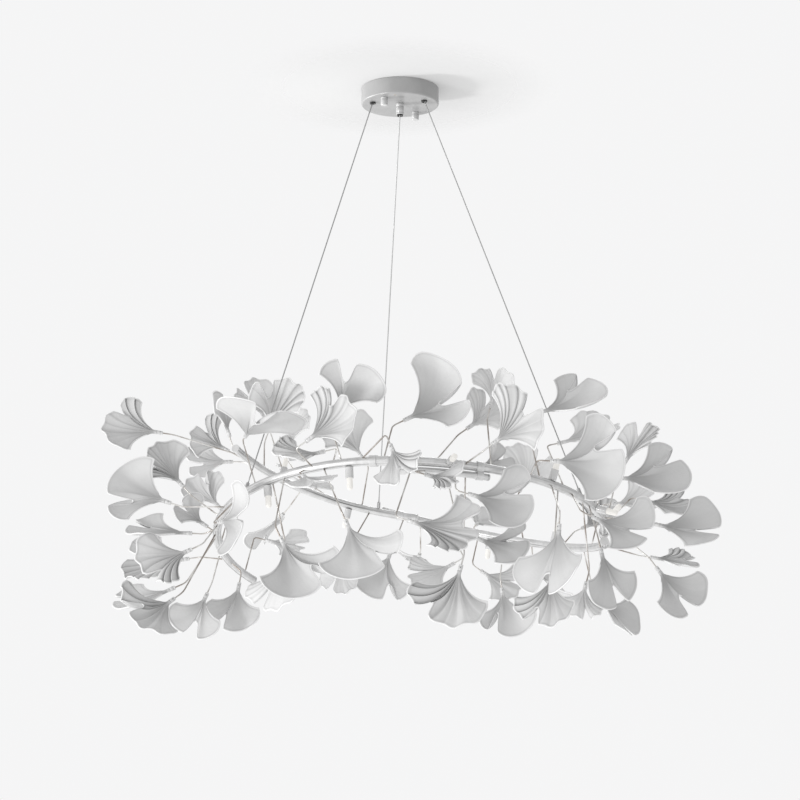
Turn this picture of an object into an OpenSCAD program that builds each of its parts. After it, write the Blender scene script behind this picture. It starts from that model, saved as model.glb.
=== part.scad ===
// Ring chandelier: a ring of lapped branch tubes carries porcelain ginkgo leaves on thin stems and
// hangs from a ceiling cup on three lines. The origin is the centre of the cup's ceiling side.

/* [Ceiling cup] */
// Outside diameter of the ceiling cup
cup_d = 128; // [122:1:150]
// Height of the ceiling cup
cup_h = 27; // [26:0.5:34]
// Wall of the ceiling cup
cup_wall = 1.5; // [1:0.1:2]
// Rounding of the cup's lower edge
cup_edge_r = 2.5; // [1.8:0.1:3]
// Distance of the two studs from the cup's centre
stud_place_r = 46; // [43:0.5:48]
// Diameter of the studs
stud_d = 4; // [3:0.5:5]
// Diameter of the thumb nuts
thumb_nut_d = 12; // [10:0.5:14]
// Height of the thumb nuts
thumb_nut_h = 13; // [10:0.5:16]

/* [Mounting bar] */
// Width of the mounting bar
bar_w = 16; // [12:1:20]
// Thickness of the mounting bar
bar_t = 2; // [1.5:0.1:3]
// Length of the mounting bar
bar_l = 108; // [106:1:112]
// Distance between the two ceiling screw holes
ceiling_hole_pitch = 60; // [50:1:70]
// Diameter of the ceiling screw holes
ceiling_hole_d = 5; // [4:0.1:6]

/* [Cup contents] */
// Length of the driver case
driver_l = 46; // [36:1:48]
// Width of the driver case
driver_w = 22; // [18:1:24]
// Height of the driver case
driver_h = 15; // [12:0.5:18]
// Length of the terminal block
terminal_l = 18; // [12:1:20]
// Width of the terminal block
terminal_w = 12; // [8:1:13]
// Height of the terminal block
terminal_h = 11; // [8:0.5:14]

/* [Lines and grippers] */
// Diameter of the lines
line_d = 2; // [1.4:0.1:2.4]
// Diameter of the gripper bodies
gripper_d = 13; // [12:0.5:15]
// Height of the gripper bodies above the cup's floor
gripper_h = 13; // [11:0.5:15]
// Diameter of the release nozzles
nozzle_d = 9.8; // [9:0.1:10.5]
// Travel of the release nozzles
nozzle_travel = 2; // [1:0.1:2.5]
// Length of a nozzle that stands out below its seat
nozzle_out = 2.5; // [2:0.1:3]
// Outside diameter of the middle gland
gland_d = 13; // [12.5:0.5:16]
// Length of the middle gland below the cup
gland_l = 19; // [14:1:26]
// Diameter of the bead on the middle line
bead_d = 4.4; // [3.6:0.2:5]

/* [Ring] */
// Drop from the ceiling to the middle of the ring
drop = 672; // [560:10:900]
// Diameter of the ring along its branches
ring_d = 640; // [600:10:700]
// Outside diameter of the branch tubes
tube_d = 13.5; // [12:0.5:15]
// Wall of the branch tubes
tube_wall = 1.3; // [1:0.1:1.8]
// Outside diameter of the thin lower branch
thin_tube_d = 10; // [9:0.5:12]
// Free space between two branches where they lap
lap_gap = 0.6; // [0.5:0.1:2]
// Length of a lap clip along the branch
clip_l = 10; // [6:1:14]
// Wall of the lap clips
clip_wall = 1.6; // [1.2:0.1:2.5]
// Diameter of the line anchors' collars
anchor_d = 5.6; // [4.6:0.2:7]
// Length of the line anchors' collars
anchor_l = 10; // [7:1:14]

/* [Stems and ferrules] */
// Diameter of the stems
stem_d = 2.3; // [1.8:0.1:2.8]
// Length of a stem's straight end before its ferrule
stem_end_l = 18; // [12:1:24]
// Diameter of the ferrules
ferrule_d = 6.6; // [6:0.2:8]
// Length of the ferrules
ferrule_l = 9; // [7:0.5:12]
// Diameter of the set screws
set_screw_d = 1.6; // [1.2:0.1:2]

/* [Leaves] */
// Thickness of the porcelain
leaf_t = 2.8; // [2:0.1:3.6]
// Width of a leaf's neck
neck_w = 6.4; // [5:0.1:7]
// Thickness of a leaf's neck
neck_t = 5.4; // [4:0.1:6]

/* [Lamps] */
// Diameter of the lamp holders
holder_d = 12; // [11:0.5:14]
// Length of the lamp holders
holder_l = 16; // [12:1:20]
// Diameter of the lamp capsules
capsule_d = 9; // [8:0.5:10]
// Length of a capsule outside its holder
capsule_l = 18; // [12:1:24]

/* [Hidden] */
$fn = 48;

// Clearances
run_gap = 0.08;   // radial, between pieces that slide or turn in each other
fit_gap = 0.05;   // radial, between pieces that are fixed in each other
soft_gap = 0.3;   // between a piece and what it lies beside

// Ceiling cup
cup_r = cup_d / 2;
cup_in_r = cup_r - cup_wall;
cup_floor = -cup_h + cup_wall;
stud_angle = 56;
stud_at = [stud_place_r * cos(stud_angle), stud_place_r * sin(stud_angle)];
stud_r = stud_d / 2;
stud_collar_r = stud_r + 1.6;
stud_collar_h = 3;
stud_end = -cup_h - thumb_nut_h + 3;
stud_hole_gap = 0.4;
driver_at = [-40, 15];
terminal_at = [12, -2];
earth_at = [-8, -52];
earth_screw_r = 1.5;
left_at = [-44.8, -14.7];
right_at = [39.7, -24];
middle_at = [0, -8];

// Grippers, gland and nozzles
nozzle_r = nozzle_d / 2;
nozzle_seat_r = nozzle_r + run_gap;
nozzle_in = 2.8;
nozzle_room = nozzle_in + nozzle_travel + 0.3;
nozzle_throat_r = line_d / 2 + 0.5;
nozzle_mouth_r = nozzle_r - 1;
line_r = line_d / 2;
line_hole_r = line_r + 0.3;
line_tail = 3;
gland_end = -cup_h - gland_l;
gland_shank_r = gland_d / 2 - 2;
gland_shank_h = 7;
gland_nut_h = 4;
side_pivot_z = -cup_h + 0.3;
middle_pivot_z = gland_end + 0.3;

// Ring
ring_r = ring_d / 2;
drawn_ring_r = 320;
grow = ring_r / drawn_ring_r;
tube_r = tube_d / 2;
tube_in_r = tube_r - tube_wall;
thin_r = thin_tube_d / 2;
lap = tube_r + lap_gap / 2;
stem_r = stem_d / 2;
knee_d = stem_d * 1.4;
knee_h = stem_d * 1.2;
stem_in = 0.7;
leads_room = 1.55;
plug_t = 1.5;
plug_in = 4;
anchor_pin_r = 1.4;
lamp_pin_r = 2.2;
capsule_seat_r = 3.2;
capsule_seat_l = 6;

// Branches: arc radius, first and last angle, tilt, angle of the raised side, centre, tube radius.
// The front right branch is placed in the ring, and each other branch lies beside the one it laps.
function arm(b, a) =
    let (along = b[0] * cos(a - b[4]), across = b[0] * sin(a - b[4]), level = along * cos(b[3]))
    [level * cos(b[4]) - across * sin(b[4]), level * sin(b[4]) + across * cos(b[4]), along * sin(b[3])];
function branch_point(b, a) = b[5] + arm(b, a);
function beside(b, a, p) = [b[0], b[1], b[2], b[3], b[4], p - arm(b, a), b[6]];
function outward(a) = [cos(a), sin(a), 0];
lap_pitch = tube_d + lap_gap;
right_lap_rise = 3.5;
FRONT_RIGHT = [ring_r - lap, 256, 361, 11.2, 262, [11 * grow, -6 * grow, -61], tube_r];
FRONT_LEFT = beside([ring_r - 28 * grow, 147, 266, 17.5, 265, [0, 0, 0], tube_r], 261,
    branch_point(FRONT_RIGHT, 261) + outward(261) * (lap_pitch + 0.6) - [0, 0, 2]);
BACK_RIGHT = beside([ring_r + lap, -8, 97, 14.3, 175, [0, 0, 0], tube_r], -1,
    branch_point(FRONT_RIGHT, 359) - [0, 0, lap_pitch + right_lap_rise]);
BACK_LEFT = beside([ring_r - lap, 86, 157, 17, 240, [0, 0, 0], tube_r], 91.5,
    branch_point(BACK_RIGHT, 91.5) - outward(91.5) * (lap_pitch + 1.2) - [0, 0, 3]);
UNDER = [ring_r - lap, 265, 292, 11.2, 262,
    FRONT_RIGHT[5] - [0, 0, tube_r + thin_r + lap_gap + 1], thin_r];
BRANCHES = [BACK_LEFT, FRONT_LEFT, FRONT_RIGHT, BACK_RIGHT, UNDER];

// Leaf kinds: half angle of the fan, notch depth, notch width, pleat height, pleats, edge wave,
// cupping, rounding of the outer corners
SMOOTH = [45, 0.36, 0.095, 1.2, 2, 0.00, 0.22, 0.13];
RIBBED = [48, 0.38, 0.110, 3.0, 3, 0.02, 0.20, 0.13];
PALE = [47, 0.28, 0.085, 1.6, 3, 0.03, 0.12, 0.13];

// Each leaf: branch, angle on it, place of the stem's end (drawn for a 640 mm ring, measured from the
// ring's middle), direction of the leaf (around, up), roll, length, kind, bend, shift of the notch
BACK_LEFT_LEAVES = [
    [0, 137, [-286, 230, 84], 180, 0, -50, 76, PALE, 20, 0.1],
    [0, 131, [-235, 275, 165], 175, 65, -55, 70, PALE, 15, 0],
    [0, 141, [-225, 205, 130], 5, 70, 55, 95, RIBBED, 30, 0.2],
    [0, 122, [-195, 305, 120], 0, 75, 50, 70, PALE, 20, 0],
    [0, 104, [-65, 290, 100], 180, 55, -60, 82, PALE, 25, 0.1],
    [0, 101, [-90, 255, -72], 185, -70, -60, 66, PALE, 20, 0],
    [0, 90, [-15, 270, -65], 185, -68, -75, 85, SMOOTH, 25, 0],
    [0, 113, [-150, 385, 60], 115, 20, 20, 90, RIBBED, 25, 0],
    [0, 125, [-205, 345, 10], 130, -30, -20, 88, SMOOTH, -20, 0.1]];
LEFT_HIGH_LEAVES = [
    [0, 151, [-395, 120, 115], 184, 8, -58, 92, RIBBED, 15, -0.1],
    [1, 204, [-350, -150, -40], 180, 18, -66, 92, SMOOTH, 15, 0.1],
    [1, 196, [-340, -60, -2], 178, 48, -52, 76, RIBBED, 20, 0.3],
    [0, 155, [-285, 140, 112], 180, 72, -28, 72, SMOOTH, 20, 0],
    [0, 141, [-290, 190, 96], 180, 28, -64, 66, RIBBED, 20, 0],
    [1, 174, [-290, 50, -22], 170, 46, -55, 66, PALE, 15, 0],
    [1, 177.5, [-305, -20, -60], 176, 34, -50, 56, SMOOTH, 15, 0]];
LEFT_LOW_LEAVES = [
    [1, 187.6, [-324, -74, -77], 182, 3, -25, 98, SMOOTH, 12, 0],
    [1, 191, [-315, -165, -112], 184, -26, -62, 80, RIBBED, 25, 0],
    [1, 164, [-344, 90, -98], 178, -8, -36, 104, RIBBED, 20, 0],
    [1, 182.4, [-350, -62, -160], 183, -24, -28, 95, SMOOTH, 30, 0],
    [1, 185.5, [-345, -115, -182], 212, -36, -60, 86, RIBBED, 24, 0],
    [1, 172, [-304, -15, -164], 200, -66, -70, 68, SMOOTH, 20, 0.1],
    [1, 163, [-257, 30, -143], 180, -80, -84, 76, SMOOTH, 15, 0],
    [1, 152, [-225, 150, -60], 0, -15, 50, 66, PALE, 20, 0]];
FRONT_LEFT_LEAVES = [
    [1, 210, [-272, -200, -76], 306, -2, 78, 92, SMOOTH, 15, 0],
    [1, 221, [-235, -190, 56], 286, 8, -22, 106, SMOOTH, 20, 0],
    [1, 243, [-137, -335, 24], 350, 34, 72, 82, RIBBED, 30, 0.1],
    [1, 249, [-111, -262, 22], 182, -14, -28, 74, RIBBED, 15, 0],
    [1, 240, [-140, -340, -26], 290, -22, 10, 62, PALE, 20, 0],
    [1, 233, [-172, -335, -114], 354, -64, 72, 92, SMOOTH, 20, 0],
    [1, 228, [-172, -240, -128], 182, -84, -50, 82, PALE, 20, 0],
    [1, 246, [-78, -370, -94], 350, -66, 78, 92, SMOOTH, 25, 0.1]];
FRONT_MIDDLE_LEAVES = [
    [1, 252, [-93, -305, 68], 10, 62, 72, 80, SMOOTH, 20, 0.1],
    [1, 264, [5, -262, 68], 2, 26, 60, 108, SMOOTH, 30, -0.1],
    [1, 257, [-14, -366, 15], 318, -62, 70, 62, RIBBED, 25, 0],
    [4, 275, [36, -350, -26], 335, -18, 40, 54, RIBBED, 20, 0],
    [2, 271.5, [10, -378, -96], 350, -18, 40, 102, RIBBED, 30, 0.1],
    [2, 277, [100, -225, 62], 25, 35, 55, 62, PALE, 20, 0],
    [2, 285, [132, -345, 18], 350, 36, 74, 86, RIBBED, 25, 0]];
FRONT_RIGHT_LEAVES = [
    [2, 293, [135, -235, 92], 10, 75, 55, 56, PALE, 20, 0],
    [2, 293.5, [116, -215, 8], 20, 8, 50, 52, SMOOTH, 15, 0],
    [4, 282.5, [98, -322, -50], 0, -16, 58, 92, SMOOTH, 20, 0],
    [4, 280, [88, -332, -154], 182, -74, -82, 90, RIBBED, 25, 0],
    [4, 285.5, [110, -270, -107], 2, -24, 46, 76, SMOOTH, 25, 0.1],
    [2, 309, [206, -205, 90], 5, 14, 32, 106, SMOOTH, 25, 0.1],
    [2, 305, [217, -335, -4], 0, -3, 80, 102, SMOOTH, 20, 0]];
RIGHT_HIGH_LEAVES = [
    [2, 319, [245, -105, 60], 15, 14, 25, 96, PALE, 20, 0],
    [2, 355, [360, 20, 45], 0, 58, 35, 76, RIBBED, 20, 0],
    [2, 338, [334, -130, 2], 0, -3, 42, 106, SMOOTH, 20, 0],
    [2, 352, [385, -25, -18], 0, -14, 40, 68, RIBBED, 20, 0],
    [3, 16, [350, 115, -5], 12, 5, 45, 74, PALE, 20, 0],
    [2, 345, [392, -105, -66], 0, -13, 48, 100, SMOOTH, 20, 0]];
RIGHT_LOW_LEAVES = [
    [2, 313, [228, -347, -97], 184, -86, -42, 106, SMOOTH, 20, 0],
    [2, 316, [224, -235, -157], 178, -82, -70, 72, RIBBED, 20, 0],
    [2, 332, [300, -200, -114], 0, -78, 46, 90, SMOOTH, 20, 0.1],
    [2, 328, [283, -150, -160], 182, -75, -70, 52, PALE, 15, 0],
    [2, 322, [282, -268, -76], 356, -27, 56, 88, SMOOTH, 25, 0],
    [2, 349, [396, -90, -131], 0, -54, 58, 86, SMOOTH, 20, 0],
    [3, 3, [402, 35, -102], 5, -8, 26, 70, RIBBED, 20, 0]];
BACK_RIGHT_LEAVES = [
    [3, 76, [94, 262, -86], 180, -30, -44, 78, PALE, 20, 0],
    [3, 57, [172, 225, -132], 0, -82, 80, 78, SMOOTH, 20, 0],
    [3, 66, [139, 290, -96], 0, -35, 60, 72, PALE, 20, 0],
    [3, 34, [310, 235, -30], 35, 22, 30, 92, RIBBED, 20, 0],
    [3, 47, [240, 325, -95], 60, -22, 40, 88, SMOOTH, 20, 0],
    [3, 68, [135, 385, -5], 78, 16, 30, 90, SMOOTH, 20, 0],
    [3, 85, [35, 400, -55], 95, -12, 25, 86, RIBBED, 20, 0],
    [3, 22, [330, 165, -150], 22, -50, 50, 88, SMOOTH, 20, 0],
    [3, 50, [205, 250, 35], 35, 60, 50, 84, PALE, 20, 0]];
SPRAYS = [BACK_LEFT_LEAVES, LEFT_HIGH_LEAVES, LEFT_LOW_LEAVES, FRONT_LEFT_LEAVES, FRONT_MIDDLE_LEAVES,
    FRONT_RIGHT_LEAVES, RIGHT_HIGH_LEAVES, RIGHT_LOW_LEAVES, BACK_RIGHT_LEAVES];
LEAVES = [for (spray = SPRAYS, leaf = spray) leaf];

// Lamps: branch, angle on it, direction around and up
LAMPS = [[1, 254, 270, -88], [1, 226, 240, -85], [1, 168, 180, 70], [0, 108, 90, -85], [0, 133, 135, 85],
    [2, 281, 270, 8], [2, 313, 270, 70], [2, 336, 300, -8], [2, 351, 0, 50], [3, 38, 38, 80], [3, 62, 62, -85]];

// Anchors of the left, right and middle line: branch, angle on it
ANCHORS = [[1, 215], [2, 328], [0, 98.5]];

// Laps: branch and angle, branch and angle
LAPS = [[0, 91.5, 3, 91.5], [1, 261, 2, 261], [2, 358.5, 3, -1.5], [2, 268.5, 4, 268.5], [2, 289.5, 4, 289.5]];

function unit(v) = v / norm(v);
function towards(around, up) = [cos(up) * cos(around), cos(up) * sin(around), sin(up)];
function branch_tangent(b, a) = unit(branch_point(b, a + 0.1) - branch_point(b, a - 0.1));
function inner_r(b) = b[6] - tube_wall;

function leaf_branch(leaf) = BRANCHES[leaf[0]];
function stem_end(leaf) = [leaf[2].x * grow, leaf[2].y * grow, leaf[2].z];
function leaf_way(leaf) = towards(leaf[3], leaf[4]);
function stem_knee(leaf) = stem_end(leaf) - leaf_way(leaf) * stem_end_l;
function stem_hub(leaf) = branch_point(leaf_branch(leaf), leaf[1]);
function stem_way(leaf) = unit(stem_knee(leaf) - stem_hub(leaf));
function slant(way, b, a) = norm(cross(way, branch_tangent(b, a)));
function stem_root(leaf) = stem_hub(leaf) + stem_way(leaf) * (inner_r(leaf_branch(leaf)) - stem_in)
    / slant(stem_way(leaf), leaf_branch(leaf), leaf[1]);

function square_to(way, tangent) = unit(way - tangent * (way * tangent));
function lamp_hub(lamp) = branch_point(BRANCHES[lamp[0]], lamp[1]);
function lamp_way(lamp) = square_to(towards(lamp[2], lamp[3]), branch_tangent(BRANCHES[lamp[0]], lamp[1]));

LINE_TOPS = [[left_at.x, left_at.y, side_pivot_z], [right_at.x, right_at.y, side_pivot_z],
    [middle_at.x, middle_at.y, middle_pivot_z]];
function anchor_hub(i) = branch_point(BRANCHES[ANCHORS[i][0]], ANCHORS[i][1]) - [0, 0, drop];
function anchor_way(i) = unit(LINE_TOPS[i] - anchor_hub(i));
function anchor_slant(i) = slant(anchor_way(i), BRANCHES[ANCHORS[i][0]], ANCHORS[i][1]);
function anchor_foot(i) = soft_gap
    + (tube_r + anchor_d / 2 * sqrt(1 - pow(anchor_slant(i), 2))) / anchor_slant(i);
function line_end(i) = anchor_hub(i) + anchor_way(i) * (anchor_foot(i) + anchor_l);

// Half thickness of a leaf at u along and v across, and the leaf's own shape before it is placed
corner_cut = 0.14;
LEAF_ALONG = [0, 0.14, 0.4, 0.72, 1];
LEAF_ACROSS = [-1, -0.95, -0.8, -0.5, -0.2, -0.11, -0.05, 0, 0.05, 0.11, 0.2, 0.5, 0.8, 0.95, 1];
function blend(a, b, t) = a + (b - a) * t;
function ease(t) = let (s = min(1, max(0, t))) s * s * (3 - 2 * s);
function half_t(u, v) = blend(neck_t / 2 * sqrt(1 - 0.92 * v * v), leaf_t / 2 * (1 - 0.25 * u), ease(u / 0.35));
function notch(leaf) = leaf[7][1] * (0.8 + 0.4 * (leaf[1] * 7 % 10) / 10);
function reach(leaf, v) = leaf[6] * (1 - leaf[7][7] * pow(abs(v), 3) - corner_cut * pow(abs(v), 16))
    * (1 - notch(leaf) * exp(-pow(abs(v - leaf[9]) / leaf[7][2], 2.8)))
    * (1 + leaf[7][5] * cos(180 * 2 * leaf[7][4] * v));
function spread(kind, u) = kind[0] * blend(0.62, 1, pow(u, 1.3));
function flat_point(leaf, u, v) =
    let (r = reach(leaf, v) * u, a = spread(leaf[7], u) * v)
    [r * cos(a), blend(neck_w / 2 * sin(90 * v), r * sin(a), ease(u / 0.3))];
function skewed(t) = cos(t + 0.8 * 57.3 * cos(t));
function rise(kind, u, v, p, len) = kind[6] * p.y * p.y / len
    + kind[3] * ease(u) * skewed(180 * kind[4] * v + 40 * u);
function bent(p, bend, len) =
    let (k = bend / 57.3 / len, a = k * p.x * 57.3, arm = 1 / k - p.z)
    [arm * sin(a), p.y, 1 / k - arm * cos(a)];
function leaf_point(leaf, u, v, side) =
    let (kind = leaf[7], len = leaf[6], p = flat_point(leaf, u, v))
    bent([p.x, p.y, rise(kind, u, v, p, len) + side * half_t(u, v)], leaf[8], len);
function across(v, shift) = v < 0 ? shift + (1 + shift) * v : shift + (1 - shift) * v;

module toward(p, way) {
    translate(p) rotate([0, acos(way.z), atan2(way.y, way.x)]) children();
}

module rod(p, q, r) {
    toward(p, unit(q - p)) cylinder(h = norm(q - p), r = r);
}

module at_leaf(leaf) {
    translate(stem_end(leaf)) rotate([0, -leaf[4], leaf[3]]) rotate([leaf[5], 0, 0]) children();
}

module leaf_blade(leaf) {
    rows = len(LEAF_ALONG);
    cols = len(LEAF_ACROSS);
    points = [for (side = [1, -1], u = LEAF_ALONG, v = LEAF_ACROSS)
        leaf_point(leaf, u, across(v, leaf[9]), side)];
    low = rows * cols;
    faces = [
        for (i = [0:rows - 2], j = [0:cols - 2]) each [
            [i * cols + j, i * cols + j + 1, (i + 1) * cols + j + 1],
            [i * cols + j, (i + 1) * cols + j + 1, (i + 1) * cols + j],
            [low + i * cols + j, low + (i + 1) * cols + j + 1, low + i * cols + j + 1],
            [low + i * cols + j, low + (i + 1) * cols + j, low + (i + 1) * cols + j + 1]],
        for (i = [0:rows - 2]) each [
            [i * cols, (i + 1) * cols, low + (i + 1) * cols],
            [i * cols, low + (i + 1) * cols, low + i * cols],
            [(i + 1) * cols - 1, low + (i + 2) * cols - 1, (i + 2) * cols - 1],
            [(i + 1) * cols - 1, low + (i + 1) * cols - 1, low + (i + 2) * cols - 1]],
        for (j = [0:cols - 2]) each [
            [j, low + j, low + j + 1],
            [j, low + j + 1, j + 1],
            [low - cols + j, low + low - cols + j + 1, low + low - cols + j],
            [low - cols + j, low - cols + j + 1, low + low - cols + j + 1]]];
    polyhedron(points, faces);
}

module leaves(spray) {
    color("whitesmoke") translate([0, 0, -drop])
        for (leaf = SPRAYS[spray]) at_leaf(leaf) translate([ferrule_l, 0, 0]) leaf_blade(leaf);
}

module stems(spray) {
    color("tan") translate([0, 0, -drop]) for (leaf = SPRAYS[spray]) {
        tip = stem_end(leaf) + leaf_way(leaf) * ferrule_l;
        rod(stem_root(leaf), stem_knee(leaf), stem_r);
        bend_way = unit(cross(stem_way(leaf), leaf_way(leaf)));
        toward(stem_knee(leaf) - bend_way * knee_h / 2, bend_way) cylinder(h = knee_h, d = knee_d);
        rod(stem_knee(leaf), tip, stem_r);
    }
}

module ferrules(spray) {
    color("gainsboro") translate([0, 0, -drop]) for (leaf = SPRAYS[spray]) at_leaf(leaf) difference() {
        rotate([0, 90, 0]) cylinder(h = ferrule_l, d = ferrule_d);
        translate([-1, 0, 0]) rotate([0, 90, 0]) cylinder(h = ferrule_l + 2, r = stem_r + fit_gap);
        translate([ferrule_l / 2, 0, 0]) cylinder(h = ferrule_d, r = set_screw_d / 2 + fit_gap);
    }
}

module set_screws() {
    color("gray") translate([0, 0, -drop]) for (leaf = LEAVES) at_leaf(leaf)
        translate([ferrule_l / 2, 0, stem_r + fit_gap])
        cylinder(h = ferrule_d / 2 - stem_r, d = set_screw_d);
}

module arc_of(b, from, to) {
    translate(b[5]) rotate([0, 0, b[4]]) rotate([0, -b[3], 0]) rotate([0, 0, from - b[4]])
        rotate_extrude(angle = to - from, $fn = 240) translate([b[0], 0]) children();
}

module tube_holes(i) {
    b = BRANCHES[i];
    reach_out = tube_wall + stem_in + 4;
    for (leaf = LEAVES) if (leaf[0] == i)
        rod(stem_root(leaf) - stem_way(leaf), stem_root(leaf) + stem_way(leaf) * reach_out
            / slant(stem_way(leaf), b, leaf[1]), stem_r + fit_gap);
    for (lamp = LAMPS) if (lamp[0] == i)
        toward(lamp_hub(lamp), lamp_way(lamp)) translate([0, 0, inner_r(b) - 2])
        cylinder(h = reach_out + 2, r = lamp_pin_r + fit_gap);
    for (k = [0:2]) if (ANCHORS[k][0] == i)
        toward(anchor_hub(k) + [0, 0, drop], anchor_way(k)) translate([0, 0, inner_r(b) - 2])
        cylinder(h = reach_out + 2, r = anchor_pin_r + fit_gap);
}

module branch(i) {
    b = BRANCHES[i];
    color("lightgray") translate([0, 0, -drop]) difference() {
        arc_of(b, b[1], b[2]) difference() {
            circle(r = b[6], $fn = 48);
            circle(r = inner_r(b), $fn = 48);
        }
        tube_holes(i);
    }
}

module lap_clips() {
    color("lightgray") translate([0, 0, -drop]) for (joint = LAPS) {
        b = BRANCHES[joint[0]];
        c = BRANCHES[joint[2]];
        p = branch_point(b, joint[1]);
        q = branch_point(c, joint[3]);
        way = branch_tangent(b, joint[1]);
        other_way = branch_tangent(c, joint[3]);
        difference() {
            union() {
                rod(p - way * clip_l / 2, p + way * clip_l / 2, b[6] + clip_wall);
                rod(q - other_way * clip_l / 2, q + other_way * clip_l / 2, c[6] + clip_wall);
                rod(p, q, clip_l / 2 * 0.8);
            }
            arc_of(b, joint[1] - 4, joint[1] + 4) circle(r = b[6] + fit_gap, $fn = 48);
            arc_of(c, joint[3] - 4, joint[3] + 4) circle(r = c[6] + fit_gap, $fn = 48);
        }
    }
}

module end_plugs() {
    color("dimgray") translate([0, 0, -drop]) for (b = BRANCHES, last = [0, 1]) {
        a = last == 1 ? b[2] : b[1];
        way = branch_tangent(b, a) * (last == 1 ? 1 : -1);
        toward(branch_point(b, a), way) {
            cylinder(h = plug_t, r = b[6]);
            translate([0, 0, -plug_in]) cylinder(h = plug_in + plug_t / 2, r = inner_r(b) - fit_gap);
        }
    }
}

module ring_leads() {
    color("gainsboro") translate([0, 0, -drop]) for (i = [0:3])
        arc_of(BRANCHES[i], BRANCHES[i][1] + 1.5, BRANCHES[i][2] - 1.5)
        circle(r = inner_r(BRANCHES[i]) - leads_room, $fn = 48);
}

module line_anchors() {
    color("silver") for (k = [0:2]) {
        b = BRANCHES[ANCHORS[k][0]];
        toward(anchor_hub(k), anchor_way(k)) {
            translate([0, 0, inner_r(b) - stem_in])
                cylinder(h = anchor_foot(k) - inner_r(b) + stem_in + anchor_l / 2, r = anchor_pin_r);
            translate([0, 0, anchor_foot(k)]) cylinder(h = anchor_l, d = anchor_d);
        }
    }
}

module lamp_holders() {
    color("white") translate([0, 0, -drop]) for (lamp = LAMPS) toward(lamp_hub(lamp), lamp_way(lamp)) {
        b = BRANCHES[lamp[0]];
        translate([0, 0, inner_r(b) - stem_in])
            cylinder(h = tube_wall + stem_in + soft_gap + holder_l / 4, r = lamp_pin_r);
        translate([0, 0, b[6] + soft_gap]) difference() {
            cylinder(h = holder_l, d = holder_d);
            translate([0, 0, holder_l - capsule_seat_l]) cylinder(h = capsule_seat_l + 1, r = capsule_seat_r);
        }
    }
}

module lamp_capsules() {
    dome_r = capsule_d / 2;
    color("lightyellow") translate([0, 0, -drop]) for (lamp = LAMPS)
        toward(lamp_hub(lamp), lamp_way(lamp))
        translate([0, 0, BRANCHES[lamp[0]][6] + soft_gap + holder_l]) rotate_extrude() polygon(concat(
            [[0, -capsule_seat_l], [capsule_seat_r - fit_gap, -capsule_seat_l], [capsule_seat_r - fit_gap, 0],
            [dome_r, 0]],
            [for (a = [0:15:75]) [dome_r * cos(a), capsule_l - dome_r + dome_r * sin(a)]],
            [[0, capsule_l]]));
}

module ceiling_cup() {
    edge = [for (a = [0:15:90]) [cup_r - cup_edge_r + cup_edge_r * cos(a), -cup_h + cup_edge_r - cup_edge_r * sin(a)]];
    color("white") difference() {
        rotate_extrude($fn = 96) polygon(concat([[cup_in_r, 0], [cup_r, 0]], edge,
            [[0, -cup_h], [0, cup_floor], [cup_in_r, cup_floor]]));
        for (side = [1, -1]) translate([side * stud_at.x, side * stud_at.y, -cup_h - 1])
            cylinder(h = cup_wall + 2, r = stud_r + stud_hole_gap);
        for (at = [left_at, right_at]) translate([at.x, at.y, -cup_h - 1])
            cylinder(h = cup_wall + 2, r = nozzle_seat_r);
        translate([middle_at.x, middle_at.y, -cup_h - 1])
            cylinder(h = cup_wall + 2, r = gland_shank_r + fit_gap);
        translate([earth_at.x, earth_at.y, -cup_h - 1]) cylinder(h = cup_wall + 2, r = earth_screw_r + fit_gap);
    }
}

module mounting_bar() {
    color("silver") rotate([0, 0, stud_angle]) difference() {
        translate([-bar_l / 2, -bar_w / 2, -bar_t]) cube([bar_l, bar_w, bar_t]);
        for (side = [1, -1]) {
            translate([side * stud_place_r, 0, -bar_t - 1]) cylinder(h = bar_t + 2, r = stud_r + fit_gap);
            translate([side * ceiling_hole_pitch / 2, 0, -bar_t - 1])
                cylinder(h = bar_t + 2, d = ceiling_hole_d);
        }
        translate([0, 0, -bar_t - 1]) cylinder(h = bar_t + 2, r = bar_w / 2 - 3);
    }
}

module cup_studs() {
    color("silver") for (side = [1, -1]) translate([side * stud_at.x, side * stud_at.y, 0]) {
        translate([0, 0, stud_end]) cylinder(h = -stud_end - soft_gap, r = stud_r);
        translate([0, 0, -bar_t - stud_collar_h]) cylinder(h = stud_collar_h, r = stud_collar_r);
    }
}

module thumb_nut(side) {
    round_off = 1.5;
    color("white") translate([side * stud_at.x, side * stud_at.y, -cup_h]) rotate_extrude() polygon([
        [stud_r + run_gap, 0], [thumb_nut_d / 2, 0], [thumb_nut_d / 2, round_off - thumb_nut_h],
        [thumb_nut_d / 2 - round_off / 2, -thumb_nut_h + round_off / 4], [thumb_nut_d / 2 - round_off, -thumb_nut_h],
        [0, -thumb_nut_h], [0, stud_end + cup_h - 1], [stud_r + run_gap, stud_end + cup_h - 1]]);
}

module gripper(at) {
    color("goldenrod") translate([at.x, at.y, 0]) difference() {
        translate([0, 0, cup_floor]) cylinder(h = gripper_h, d = gripper_d);
        translate([0, 0, cup_floor - 1]) cylinder(h = nozzle_room - cup_wall + 1, r = nozzle_seat_r);
        translate([0, 0, cup_floor]) cylinder(h = gripper_h + 1, r = line_hole_r);
    }
}

module middle_gland() {
    color("white") translate([middle_at.x, middle_at.y, 0]) difference() {
        union() {
            translate([0, 0, gland_end]) cylinder(h = gland_l, d = gland_d);
            translate([0, 0, -cup_h - 1]) cylinder(h = cup_wall + gland_shank_h + 1, r = gland_shank_r);
        }
        translate([0, 0, gland_end - 1]) cylinder(h = nozzle_room + 1, r = nozzle_seat_r);
        translate([0, 0, gland_end]) cylinder(h = gland_l + cup_wall + gland_shank_h + 1, r = line_hole_r);
    }
}

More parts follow.
